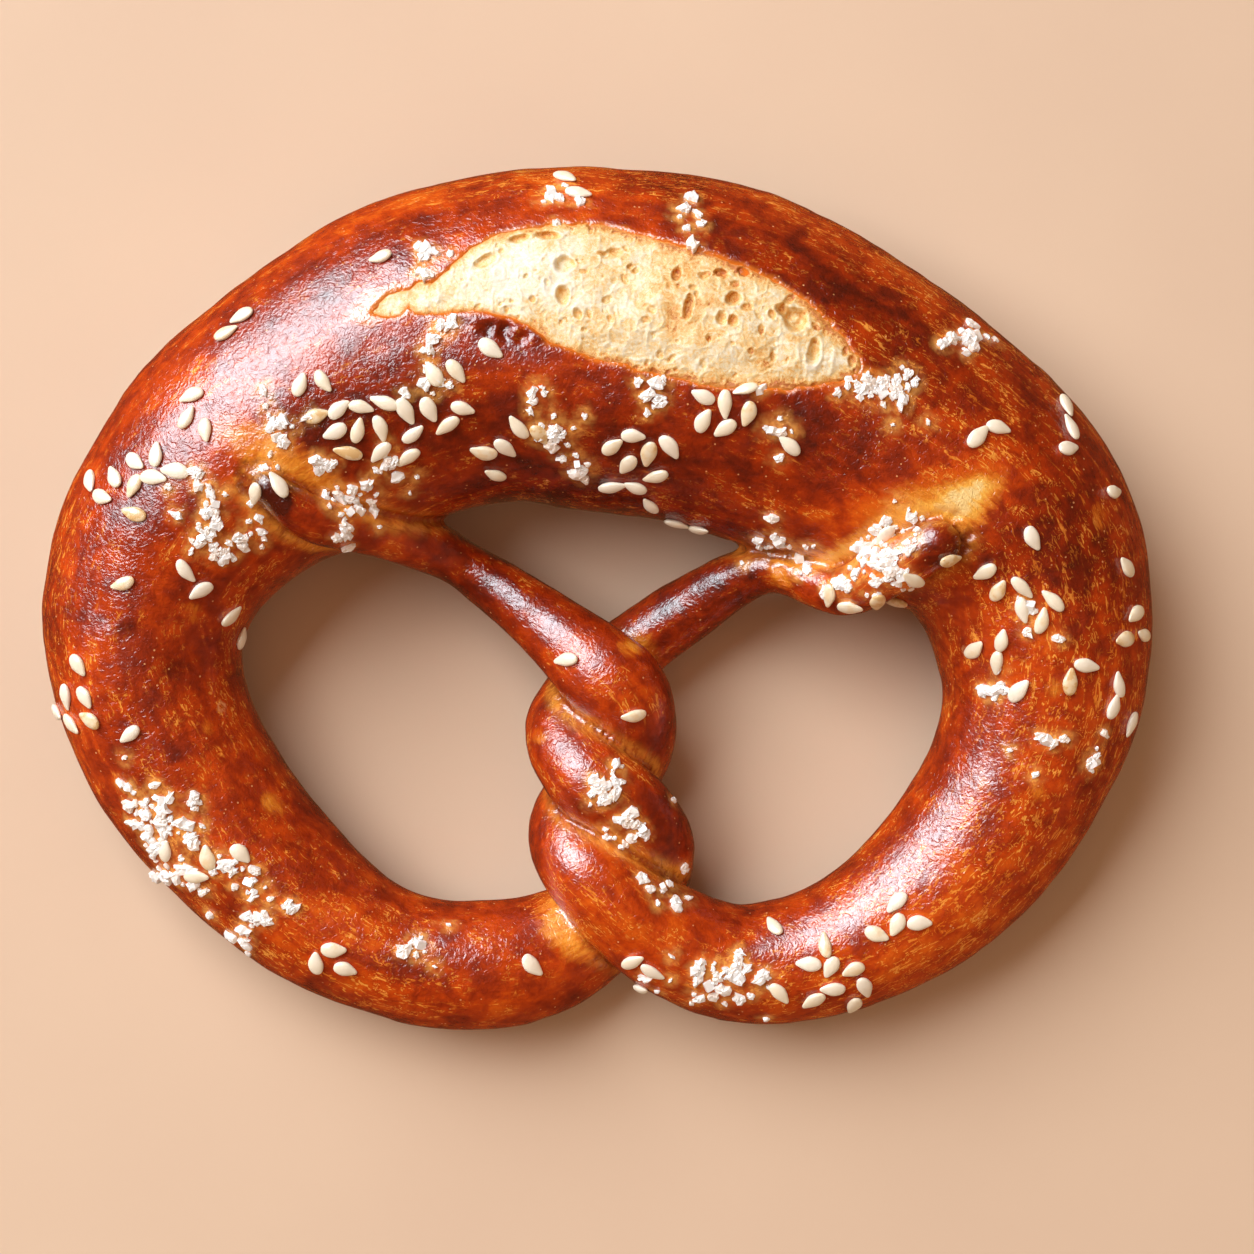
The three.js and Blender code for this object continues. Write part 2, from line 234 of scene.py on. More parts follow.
def lumps(points, size, seed=0):
    """Smooth random unevenness between -1 and 1, with lumps of about this size."""
    p = points / size + 37.1 * (seed + 1)
    cell = np.floor(p).astype(np.int64)
    f = p - cell
    f = f * f * f * (f * (f * 6 - 15) + 10)
    value = np.zeros(len(points))
    for corner in np.ndindex(2, 2, 2):
        mixed = np.bitwise_xor.reduce((cell + corner) * SCRAMBLE_PLACE, axis=1)
        mixed = ((mixed ^ (mixed >> 13)) * SCRAMBLE_AGAIN) & 0x7fffffff
        drawn = ((mixed ^ (mixed >> 16)) & 0xffff) / 32767.5 - 1
        value += drawn * np.prod(np.where(corner, f, 1 - f), axis=1)
    return value


def step(value, low, high):
    """0 below low, 1 above high, and a smooth rise between them."""
    t = np.clip((value - low) / (high - low), 0, 1)
    return t * t * (3 - 2 * t)


def turned(dx, dy, degrees):
    """Lengths along and across a direction, for offsets in x and y."""
    c, s = math.cos(math.radians(degrees)), math.sin(math.radians(degrees))
    return dx * c + dy * s, dy * c - dx * s


def inside_edge(x, y):
    """How far inside the edge of the burst each place lies in plan, less than 0 outside it."""
    sides = 240
    ring = np.array(BURST_EDGE + BURST_EDGE[:3], float)
    edge = through(ring, np.linspace(1, len(BURST_EDGE) + 1, sides, endpoint=False))
    after = np.roll(edge, -1, axis=0)
    side = after - edge
    climb = np.where(side[:, 1] == 0, 1e-9, side[:, 1])
    inside = np.empty(len(x))
    batch = 20000
    for start in range(0, len(x), batch):
        part = slice(start, start + batch)
        away_x = x[part, None] - edge[:, 0]
        away_y = y[part, None] - edge[:, 1]
        t = np.clip((away_x * side[:, 0] + away_y * side[:, 1]) / (side ** 2).sum(1), 0, 1)
        gap = np.hypot(away_x - t * side[:, 0], away_y - t * side[:, 1]).min(1)
        crosses = (edge[:, 1] > y[part, None]) != (after[:, 1] > y[part, None])
        reached = x[part, None] < edge[:, 0] + away_y * side[:, 0] / climb
        within = (crosses & reached).sum(1) % 2 == 1
        inside[part] = np.where(within, gap, -gap)
    return inside


def inside_tear(x, y):
    """The same for the small tear, roughly."""
    tear_x, tear_y, half_length, half_width, turn = SMALL_TEAR
    along, across = turned(x - tear_x, y - tear_y, turn)
    widening = np.clip(1 + 0.6 * along / half_length, 0.4, 1.6)
    return half_width * (1 - np.hypot(along / half_length, across / half_width / widening))


def inside_burst(x, y):
    """How far inside the burst or the tear each place lies, with their edges torn ragged."""
    flat = np.stack([x, y, 0 * x], axis=1)
    ragged = sum(reach * lumps(flat, size, seed) for size, reach, seed in RAGGED)
    return np.maximum(inside_edge(x, y), inside_tear(x, y)) + ragged


rings = rings_of_rope()
ring_count = len(rings["length"])
angle = np.arange(ROPE_SIDES) / ROPE_SIDES * 2 * math.pi
skin = (rings["middle"][:, None]
        + rings["across"][:, None] * (rings["half"][:, 0, None] * np.cos(angle))[..., None]
        + rings["up"][:, None] * (rings["half"][:, 1, None] * np.sin(angle))[..., None])
skin_points = np.concatenate([skin.reshape(-1, 3), rings["middle"][:1], rings["middle"][-1:]])
ring_of, side_of = np.meshgrid(np.arange(ring_count - 1), np.arange(ROPE_SIDES), indexing="ij")
here = ring_of * ROPE_SIDES + side_of
beside = ring_of * ROPE_SIDES + (side_of + 1) % ROPE_SIDES
skin_faces = np.stack([here, here + ROPE_SIDES, beside + ROPE_SIDES, beside], -1).reshape(-1, 4).tolist()
ring_of_face = np.concatenate([ring_of.ravel(), np.tile([0, ring_count - 2], ROPE_SIDES)])
first_tip = ring_count * ROPE_SIDES
last_ring = (ring_count - 1) * ROPE_SIDES
for k in range(ROPE_SIDES):
    following = (k + 1) % ROPE_SIDES
    skin_faces.append([first_tip, k, following])
    skin_faces.append([first_tip + 1, last_ring + following, last_ring + k])
skin_tree = BVHTree.FromPolygons(skin_points.tolist(), skin_faces)

crust = mesh_object("crust", skin_points, skin_faces)
remesh = crust.modifiers.new("grown together", "REMESH")
remesh.mode = "VOXEL"
remesh.voxel_size = GRAIN * MM
remesh.use_smooth_shade = True
apply_modifiers(crust)


def dot(a, b):
    return (a * b).sum(-1)


def in_section(away, ring):
    """Offsets from a ring's middle as shares of its half width and thickness, and those halves."""
    half = np.maximum(rings["half"][ring], THINNEST_HALF)
    sideways = dot(away, rings["across"][ring]) / half[..., 0]
    return sideways, dot(away, rings["up"][ring]) / half[..., 1], half


def on_rope(points):
    """The ring behind each point, and how far along the rope and round it the point lies."""
    faces = np.array([skin_tree.find_nearest(p)[2] for p in points.tolist()])
    ring = ring_of_face[faces]
    away = points - rings["middle"][ring]
    past = dot(away, rings["along"][ring])
    short = dot(points - rings["middle"][ring + 1], rings["along"][ring + 1])
    part = np.clip(past / np.maximum(past - short, 1e-6), 0, 1)
    along = rings["length"][ring] + part * (rings["length"][ring + 1] - rings["length"][ring])
    sideways, upwards, half = in_section(away, ring)
    return ring, along, np.arctan2(sideways, upwards) * half.mean(1)


def off_skin(away, ring):
    """How far places lie off the skin at a ring, from their offsets to the ring's middle."""
    sideways, upwards, half = in_section(away, ring)
    return np.abs(np.hypot(sideways, upwards) - 1) * half.min(-1)


def gap_to_other_strand(points, along):
    """How far each point is from the skin of any other stretch of the rope."""
    own_reach = 24.0
    search_reach = 8
    slab_half = 2.0
    gap = np.full(len(points), FAR)
    for ring in range(0, ring_count, 3):
        away = points - rings["middle"][ring]
        reach = max(rings["half"][ring, 0], THINNEST_HALF) + search_reach
        close = (np.abs(away).max(1) < reach) & (np.abs(along - rings["length"][ring]) > own_reach)
        away = away[close]
        beside = np.abs(dot(away, rings["along"][ring])) < slab_half
        gap[close] = np.minimum(gap[close], np.where(beside, off_skin(away, ring), FAR))
    return gap


# The form before any relief: smooth, and flat where it lay on the tray.
form = evened(crust.data, points_of(crust.data), 6 * SHRINK_AND_SWELL)
form[:, 2] = 0.5 * (form[:, 2] + np.sqrt(form[:, 2] ** 2 + TRAY_EDGE ** 2)) - TRAY_SINK
form[:, 2] = np.maximum(form[:, 2], 0)
move_points(crust.data, form)
smooth_dough = BVHTree.FromObject(crust, bpy.context.evaluated_depsgraph_get())

# Hand-rolled unevenness, sharp creases where strands touch, puckered skin beside the burst, and
# then the burst with its lip.
UNEVEN = ((14.0, 0.35), (5.0, 0.14), (2.2, 0.06))
CREASE_DEPTH = 0.45
CREASE_WALL = (0.1, 0.9)
RELIEF_RISE = (0.5, 4)
PUCKERS = [(-12, 34.4, 6, 1.7, -15, 0.5), (25, 4, 3.5, 3, 0, 0.3)]


def patches_at(points, patches, together=np.maximum):
    """The patches' strengths at each point; a patch fades out from its middle."""
    total = np.zeros(len(points))
    for x, y, reach_along, reach_across, turn, strength in patches:
        along, across = turned(points[:, 0] - x, points[:, 1] - y, turn)
        away = np.hypot(along / reach_along, across / reach_across)
        total = together(total, strength * (1 - step(away, 0.35, 1.3)))
    return total


def puckers(points):
    """Winding folds, 0.5 along their ridges."""
    bend = np.stack([lumps(points, 2.3, seed) for seed in (8, 9, 10)], axis=1)
    return 0.5 - np.abs(lumps(points[:, [1, 2, 0]] * 1.1 + 0.9 * bend, 1.9, 6)) * 2


def burst_at(points):
    """The same for points of the crust, with all the low ones far outside."""
    inside = np.full(len(points), -FAR)
    high_up = points[:, 2] > BURST_ABOVE
    inside[high_up] = inside_burst(*points[high_up, :2].T)
    return inside


normal = rows_of(crust.data.vertex_normals, "vector")
rise = sum(height * lumps(form, size, k) for k, (size, height) in enumerate(UNEVEN))
rise += patches_at(form, PUCKERS) * puckers(form)
rise -= CREASE_DEPTH * (1 - step(gap_to_other_strand(form, on_rope(form)[1]), *CREASE_WALL))
rise *= step(form[:, 2], *RELIEF_RISE)
in_burst = burst_at(form)
lip = LIP_RISE * np.exp(-((in_burst + LIP_PLACE) / LIP_WIDTH) ** 2) * (0.8 + 0.6 * lumps(form, 3.0, 7))
rise += lip - EDGE_DROP * step(in_burst, *EDGE_WALL)
rise -= (HOLLOW_DEPTH - EDGE_DROP) * step(in_burst, *HOLLOW_WALL)
move_points(crust.data, form + normal * rise[:, None])

triangles = sum(len(face.vertices) - 2 for face in crust.data.polygons)
thin_out = crust.modifiers.new("fewer where flat", "DECIMATE")
thin_out.ratio = min(1.0, CRUST_TRIANGLES / triangles)
thin_out.use_collapse_triangulate = True
apply_modifiers(crust)
shade(crust.data, True)

# How the oven coloured it, with painted light and shade, in plan: x, y, reach along and across,
# turn in degrees, strength. The first list makes it darker or lighter: partly its own baked brown,
# partly painted shade on slopes that face away from the light and painted light on lit rims. The
# second makes it pale where the skin tore or stretched late, and the third flecked with yellow where
# the skin crazed as it grew.
BROWN_LIGHT_AND_SHADE_PATCHES = [
    (-3, 19, 36, 9, -4, 0.42), (-28, 27, 16, 7, 25, 0.2), (-11.5, 34.1, 7, 2, -17, 0.5),
    (24, 25, 22, 6, -12, 0.2), (28, 40, 30, 7, -35, 0.34), (61, 7, 9, 11, 0, 0.34),
    (-57, -14, 12, 9, 50, 0.14), (56, -32, 7, 5, 40, 0.14), (-58, 6, 9, 22, 0, 0.16),
    (-17, 4.5, 12, 6, -35, 0.22), (16, 0, 14, 6, 35, 0.25), (9.5, -30, 4, 5, 0, 0.2),
    (10, -39, 4, 3, -40, 0.25), (-26, 47, 20, 5, 35, 0.18),
    (-62, -4, 1.6, 1.4, 0, 0.4), (-56, -9, 1.8, 1.3, 20, 0.35), (-59, -15, 1.5, 1.2, 0, 0.3),
    (-12, 55, 26, 2.5, 12, -0.2), (50, -40, 18, 14, 40, -0.2), (60, -12, 12, 22, 0, -0.12),
    (-42, -42, 26, 7, -30, -0.08), (18, -52, 18, 6, 0, -0.1), (-2, -40, 7, 8, 0, -0.15),
    (2, -17, 7, 8, 0, -0.12), (-66, 22, 6, 12, -25, -0.1), (39, 11, 10, 3, 20, -0.22),
    (51, 4, 5, 4, 0, 0.22), (58, 22, 8, 7, -50, 0.15), (64, -6, 3, 5, 0, 0.2), (-26, -49, 8, 4, 0, 0.18),
]
PALE_PATCHES = [
    (-41.5, 18.2, 12, 3.2, -29, 0.62), (-31.5, 12.5, 4, 2, -20, 0.4), (-39.2, 8.4, 7, 1.6, -40, 0.45),
    (46.4, 11.6, 8.8, 3.4, 36, 1.04), (41, 10.5, 8, 4.5, 30, 0.6), (32, 5.9, 4.5, 1.4, 25, 0.95),
    (24.8, 3.4, 2.8, 2.6, 0, 0.5),
    (-4.6, -45.2, 5.5, 2.6, -55, 0.7), (-27.4, 38, 4.6, 2.6, 22, 0.6), (-23.7, 38.5, 1.2, 3, 0, 0.6),
    (-31.5, 36.8, 3, 2, 20, 0.35), (-22, 43, 2, 3.5, 0, 0.45),
    (36, 29, 1.8, 1.6, 0, 0.5), (5.4, -6, 3, 1.8, 30, 0.6), (-7.6, -18.5, 1.8, 1.5, 40, 0.4),
    (-19.8, 34.6, 2.6, 1.8, -10, 0.85), (-45, -39, 5, 3, -40, 0.25), (-57, -27, 4, 3, -50, 0.25),
    (66, 22, 1.6, 1.1, 60, 0.4), (60.5, -12, 1.6, 1.3, 20, 0.7), (-48, 10, 3, 1, 60, 0.2),
    (-53.3, -1.9, 1.1, 1.6, 0, 0.7), (-43.5, -27.6, 1.8, 1.4, -40, 0.8), (-51.7, -17.3, 1.1, 0.9, 0, 0.7),
    (66.5, 11.1, 1.3, 1.8, 30, 0.75), (58.7, -25.8, 1.3, 1.4, 0, 0.75), (51.7, -24.7, 1.1, 1.1, 0, 0.75),
]
TOP_BROWN = 0.40
UNDERSIDE_BROWN = 0.62
TIP_BROWN = 0.52
EVEN_FLECKS = 0.2
FLECKED_PATCHES = [
    (-5, 56, 46, 3.5, 0, 0.95), (-54, 42, 26, 4, 45, 0.9), (-73, 2, 4, 28, 0, 0.95),
    (-44, -42, 30, 11, -32, 0.6), (-47, -12, 7, 20, 0, 0.3), (62, -8, 15, 28, 0, 0.68),
    (40, 44, 34, 5, -37, 0.9), (48, 26, 20, 10, -40, 0.45), (48, -40, 22, 13, 38, 0.85),
    (24, -51, 20, 7, 0, 0.6), (-3, -42, 8, 7, 0, 0.6), (0, 13, 34, 3.5, 0, 0.3),
    (38, 0, 12, 5, 20, 0.4), (3, -25, 6, 14, 0, 0.25), (-60, -15, 12, 14, 0, 0.2),
]
# Its colours: lightest to darkest brown, and where it is pale, golden to cream.
BROWNS = [(0.0, (0.74, 0.12, 0.006)), (0.25, (0.55, 0.055, 0.003)), (0.5, (0.34, 0.027, 0.002)),
          (0.75, (0.19, 0.013, 0.0015)), (1.0, (0.08, 0.006, 0.001))]
GOLDENS = [(0.0, (0.55, 0.07, 0.004)), (0.35, (0.66, 0.15, 0.008)), (0.6, (0.82, 0.27, 0.018)),
           (0.8, (0.96, 0.48, 0.06)), (1.0, (0.98, 0.70, 0.27))]
SALT_HALO = (0.94, 0.44, 0.10)
SEAM = (1.0, 0.42, 0.05)
# Painted shade for the creases between strands.
CREASE_SHADE = (0.12, 0.012, 0.003)
TORN_EDGE = (0.76, 0.19, 0.015)

crust_points = points_of(crust.data)
crust_normals = rows_of(crust.data.vertex_normals, "vector")
ring_behind, along, around = on_rope(crust_points)
facing_up = crust_normals[:, 2]

# Brown with patches of painted shade and painted light, darker underneath, and at the thin tips
# where it is the tip's own strand that shows.
brown = TOP_BROWN + patches_at(crust_points, BROWN_LIGHT_AND_SHADE_PATCHES, np.add)
brown += 0.14 * lumps(crust_points, 11.0, 11) + 0.10 * lumps(crust_points, 4.5, 12)
underside_brown = UNDERSIDE_BROWN + 0.12 * lumps(crust_points, 9.0, 13)
brown = np.where(facing_up < -0.2, underside_brown, brown)
on_strand = off_skin(crust_points - rings["middle"][ring_behind], ring_behind) < 0.7
from_tip = np.minimum(along - rings["length"][0], rings["length"][-1] - along)
from_tip[~on_strand] = FAR
brown += TIP_BROWN * (1 - step(from_tip, 3, 9))

# Pale and golden only where the crust faces up, and flecked only above the tray.
pale = patches_at(crust_points, PALE_PATCHES) * step(facing_up, 0.05, 0.5) * step(from_tip, 16, 22)
crease_gap = gap_to_other_strand(crust_points, along)
# Painted shade in the creases where strands touch, left out where the skin is pale.
crease_shade = (1 - step(crease_gap, 0.1, 0.7)) * (1 - np.clip(pale, 0, 1))
seam = (1 - step(crease_gap, 0.8, 2.3)) * step(facing_up, 0.0, 0.5) * step(crease_gap, 0.1, 0.5)
seam *= 0.6 + 0.4 * lumps(crust_points, 5.0, 14)
torn_edge = step(burst_at(crust_points), -0.5, 0.1)
flecked = np.clip(EVEN_FLECKS + patches_at(crust_points, FLECKED_PATCHES), 0, 1)
flecked = flecked * step(crust_points[:, 2], 1.0, 4.0)
on_tray = 1 - step(crust_points[:, 2], 0.2, 1.6)


def store(made, name, values, domain="POINT"):
    """Keeps a number or a place for each point or corner of a mesh, for its material to read."""
    values = np.asarray(values, np.float32)
    kind = "FLOAT" if values.ndim == 1 else "FLOAT_VECTOR"
    layer = made.data.attributes.new(name, kind, domain)
    layer.data.foreach_set("value" if values.ndim == 1 else "vector", values.ravel())


def rope_place_at_corners():
    """Places along and round the rope for each triangle's corners, all three on one strand."""
    corners = rows_of(crust.data.loops, "vertex_index", int, 1).reshape(-1, 3)
    place = np.stack([along, around, 0 * along], axis=1)[corners]
    longest_side = 5.0
    split = np.ptp(place, axis=1).max(1) > longest_side
    first = corners[split, 0]
    direction = rings["along"][ring_behind[first]]
    sideways = np.cross(direction, crust_normals[first])
    for corner in (1, 2):
        offset = crust_points[corners[split, corner]] - crust_points[first]
        ahead = dot(offset, direction)
        place[split, corner] = place[split, 0] + np.stack([ahead, dot(offset, sideways), 0 * ahead], axis=1)
    return place.reshape(-1, 3)


# What the material reads at each point, evened out for so many rounds.
for name, values, rounds in (
    ("brown", brown, 6), ("pale", pale, 8), ("seam", seam, 2), ("crease_shade", crease_shade, 2),
    ("torn_edge", torn_edge, 0), ("flecked", flecked, 0), ("on_tray", on_tray, 0),
):
    store(crust, name, evened(crust.data, values, rounds * HALFWAY))
store(crust, "rope_place", rope_place_at_corners(), "CORNER")


class Material:
    """A material's nodes, made one after another."""

    def __init__(self, name):
        self.material = bpy.data.materials.new(name)
        self.material.use_nodes = True
        self.tree = self.material.node_tree
        self.tree.nodes.clear()
        self.shader = self.add("BsdfPrincipled")
        self.add("OutputMaterial", {"Surface": self.shader.outputs[0]})

    def feed(self, socket, value):
        if isinstance(value, bpy.types.NodeSocket):
            self.tree.links.new(value, socket)
        else:
            socket.default_value = value

    def add(self, kind, inputs=None, **settings):
        made = self.tree.nodes.new("ShaderNode" + kind)
        for name, value in settings.items():
            setattr(made, name, value)
        for name, value in (inputs or {}).items():
            self.feed(made.inputs[name], value)
        return made

    def set(self, **inputs):
        for name, value in inputs.items():
            self.feed(self.shader.inputs[name.replace("_", " ")], value)

    def stored(self, name, output="Fac"):
        return self.add("Attribute", attribute_name=name).outputs[output]

    def place(self):
        """The place on the piece, in millimetres."""
        coordinates = self.add("TexCoord").outputs["Object"]
        return self.add("VectorMath", {0: coordinates, "Scale": 1 / MM}, operation="SCALE").outputs[0]

    def drawn_out(self, vector, share):
        """Draws the noise at this place out along its first axis."""
        return self.add("VectorMath", {0: vector, 1: (share, 1, 1)}, operation="MULTIPLY").outputs[0]

    def noise(self, vector, size, detail=2.0, roughness=0.5, distortion=0.0):
        inputs = {"Vector": vector, "Scale": 1 / size, "Detail": detail, "Roughness": roughness,
                  "Distortion": distortion}
        return self.add("TexNoise", inputs).outputs["Fac"]

    def cells(self, vector, size):
        return self.add("TexVoronoi", {"Vector": vector, "Scale": 1 / size}).outputs["Distance"]

    def maths(self, operation, a, b=0.0):
        return self.add("Math", {0: a, 1: b}, operation=operation).outputs[0]

    def plus(self, a, b):
        return self.maths("ADD", a, b)

    def times(self, a, b):
        return self.maths("MULTIPLY", a, b)

    def band(self, value, low, high, out_low=0.0, out_high=1.0):
        """A smooth change while the value goes from low to high."""
        inputs = {"Value": value, "From Min": low, "From Max": high, "To Min": out_low, "To Max": out_high}
        return self.add("MapRange", inputs, interpolation_type="SMOOTHSTEP").outputs["Result"]

    def threads(self, noise, level, outer, inner):
        """Thin lines where a noise passes a level."""
        return self.band(self.maths("ABSOLUTE", self.maths("SUBTRACT", noise, level)), outer, inner)

    def ramp(self, value, stops):
        made = self.add("ValToRGB", {"Fac": value})
        elements = made.color_ramp.elements
        while len(elements) < len(stops):
            elements.new(0.5)
        for element, (at, colour) in zip(elements, stops):
            element.position = at
            element.color = (*colour, 1)
        return made.outputs["Color"]

    def mix(self, share, a, b):
        made = self.add("Mix", {0: share}, data_type="RGBA")
        for socket, value in ((made.inputs[6], a), (made.inputs[7], b)):
            self.feed(socket, (*value, 1) if isinstance(value, tuple) else value)
        return made.outputs[2]

    def bump(self, height, distance, strength):
        inputs = {"Height": height, "Distance": distance * MM, "Strength": strength}
        return self.add("Bump", inputs).outputs[0]


def crust_material():
    m = Material("baked_crust")
    place = m.place()
    rope_place = m.stored("rope_place", "Vector")
    pale = m.stored("pale")

    # Brown in large and small clouds, and in streaks along the rope.
    clouds = m.noise(place, 4.2, 3.0, 0.6, 0.4)
    blots = m.noise(place, 1.5, 2.0, 0.6)
    streaks = m.noise(m.drawn_out(rope_place, 0.36), 2.4, 2.0, 0.5, 0.8)
    depth = m.plus(m.stored("brown"), m.band(clouds, 0.32, 0.68, -0.16, 0.16))
    depth = m.plus(depth, m.band(blots, 0.32, 0.68, -0.07, 0.07))
    depth = m.plus(depth, m.band(streaks, 0.36, 0.64, -0.07, 0.07))
    colour = m.ramp(depth, BROWNS)

    # Yellow lines along the rope, short dashes and curls, where the skin crazed.
    lines = m.noise(m.drawn_out(rope_place, 0.17), 1.3, 2.0, 0.5, 1.0)
    lines = m.threads(lines, 0.5, 0.045, 0.015)
    broken = m.noise(m.drawn_out(rope_place, 0.48), 0.75, 2.0, 0.6, 1.6)
    lines = m.times(lines, m.band(broken, 0.50, 0.58))
    dashes = m.times(m.band(broken, 0.62, 0.66), m.band(blots, 0.42, 0.5))
    curls = m.noise(place, 1.4, 2.0, 0.5, 1.8)
    curls = m.threads(curls, 0.47, 0.035, 0.012)
    curls = m.times(curls, m.band(blots, 0.54, 0.62))
    flecks = m.maths("MAXIMUM", m.maths("MAXIMUM", lines, dashes), curls)
    spread = m.plus(m.stored("flecked"), m.band(clouds, 0.3, 0.7, 0.25, -0.25))
    spread = m.band(m.plus(spread, m.band(streaks, 0.36, 0.64, 0.28, -0.28)), 0.2, 0.85)
    flecks = m.times(flecks, spread)
    yellow = m.mix(m.band(clouds, 0.35, 0.65), (0.94, 0.40, 0.06), (0.86, 0.23, 0.015))
    colour = m.mix(m.times(flecks, m.band(depth, 0.75, 0.25, 0.5, 0.9)), colour, yellow)

    # Pin dots, and the broken ring marks of small blisters.
    dots = m.band(m.cells(place, 1.4), 0.12, 0.06)
    dots = m.times(dots, m.band(blots, 0.42, 0.5))
    blister = m.plus(m.cells(place, 14.0), m.band(broken, 0.3, 0.7, -0.014, 0.014))
    ring = m.times(m.band(blister, 0.025, 0.04), m.band(blister, 0.07, 0.055))
    marks = m.maths("MAXIMUM", m.times(ring, m.band(blots, 0.35, 0.6, 0.0, 0.7)), dots)
    colour = m.mix(m.times(marks, 0.7), colour, (0.90, 0.45, 0.18))

    # Pale skin: golden at its edge and cream in its middle, with stretch lines along the rope.
    drawn = m.noise(m.drawn_out(rope_place, 0.3), 0.7, 3.0, 0.6, 0.6)
    pale_now = m.plus(pale, m.band(drawn, 0.3, 0.7, -0.11, 0.11))
    pale_now = m.plus(pale_now, m.band(clouds, 0.3, 0.7, -0.09, 0.09))
    pale_now = m.times(pale_now, m.band(pale, 0.03, 0.25))
    golden = m.ramp(pale_now, GOLDENS)
    ticks = m.noise(m.drawn_out(rope_place, 0.7), 0.55, 2.0, 0.6, 1.4)
    ticks = m.times(m.band(ticks, 0.60, 0.66), m.band(blots, 0.45, 0.55, 0.1, 0.6))
    golden = m.mix(ticks, golden, (0.55, 0.17, 0.02))
    colour = m.mix(m.band(pale_now, 0.05, 0.55), colour, golden)
    halo = m.times(m.stored("salt_halo"), m.band(blots, 0.35, 0.65, 0.2, 1.0))
    colour = m.mix(m.times(halo, 0.75), colour, SALT_HALO)

    # Seams between strands: a thin golden edge, and painted shade, dark in the crease itself.
    seam = m.times(m.stored("seam"), m.band(drawn, 0.35, 0.6, 0.35, 1.0))
    colour = m.mix(seam, colour, SEAM)
    colour = m.mix(m.times(m.stored("crease_shade"), 0.5), colour, CREASE_SHADE)
    colour = m.mix(m.stored("torn_edge"), colour, TORN_EDGE)

    # Glossy skin with fine wrinkles, duller where it is pale and dull where it lay on the tray.
    wrinkles = m.noise(place, 0.8, 2.0, 0.55, 1.2)
    bump = m.bump(wrinkles, 0.18, 0.8)
    rough = m.band(clouds, 0.3, 0.7, 0.15, 0.23)
    rough = m.plus(rough, m.times(m.band(pale_now, 0.2, 0.8), 0.12))
    rough = m.plus(rough, m.times(m.stored("on_tray"), 0.35))
    m.set(Base_Color=colour, Roughness=rough, Normal=bump, Specular_IOR_Level=0.9)
    return m.material


crust.data.materials.append(crust_material())
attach(crust, "root")
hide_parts("pretzel")

# ---- The crumb ------------------------
# The soft inside that swelled out through the burst: cream bread full of holes and fine webs,
# toasted golden towards the right and along the torn edge. It dips at its edge, under the crust,
# and stands as high as the crust in its middle.

CRUMB_GAP = 0.15
CRUMB_UNDER_LIP = 0.7
CRUMB_EDGE_DEPTH = 0.6
CRUMB_SWELL = 0.5
CRUMB_SINK = 0.08
# The webs between its bubbles: sizes, heights and seeds.
WEBS = ((1.7, 0.10, 23), (0.9, 0.07, 24), (0.5, 0.045, 25))
# The large holes: x, y, half length, half width, turn in degrees, depth.
LARGE_HOLES = [
    (-9.9, 46.6, 1.5, 0.6, 12, 1.1), (-6.2, 47, 1.7, 0.6, -3, 1.2), (-14.2, 43.6, 1.9, 0.8, 30, 0.9),
    (-4, 43.1, 1.4, 1.2, 0, 1.3), (-4.2, 39, 1, 1.3, 0, 1.2), (2.2, 44.6, 1.4, 0.8, 15, 0.6),
    (10.5, 41.8, 0.7, 1.1, -20, 1.1), (16.3, 42, 1.1, 0.6, -10, 1.0), (19.2, 42.2, 0.9, 0.6, -25, 1.0),
    (17.8, 38.6, 1.1, 1, 0, 1.3), (12, 37.4, 0.7, 1.7, -15, 1.2), (16.3, 36, 0.8, 0.9, 0, 0.9),
    (17.7, 35.7, 0.7, 0.8, 0, 0.9), (24.6, 37, 1.4, 0.9, -35, 1.1), (25.9, 36, 1.6, 1.7, 20, 1.4),
    (28.3, 31.7, 0.9, 2, -10, 1.0), (-2.2, 36.6, 0.6, 0.8, 20, 0.8), (33.2, 30.6, 0.6, 0.9, 0, 0.8),
    (4.5, 42.8, 0.5, 0.4, 0, 0.5), (22.8, 36.6, 0.5, 0.7, 20, 0.7), (-8.9, 41.5, 0.5, 0.35, 30, 0.5),
]
SMALL_HOLES = 280
# Cream to toasted brown.
CRUMB_TOASTS = [(0.0, (0.92, 0.87, 0.74)), (0.3, (0.87, 0.75, 0.50)), (0.6, (0.85, 0.58, 0.23)),
                (0.85, (0.76, 0.36, 0.07)), (1.0, (0.54, 0.16, 0.02))]
# Where a plumb line down to the dough starts, and its direction.
ABOVE_ALL = 60
DOWN = Vector((0, 0, -1))


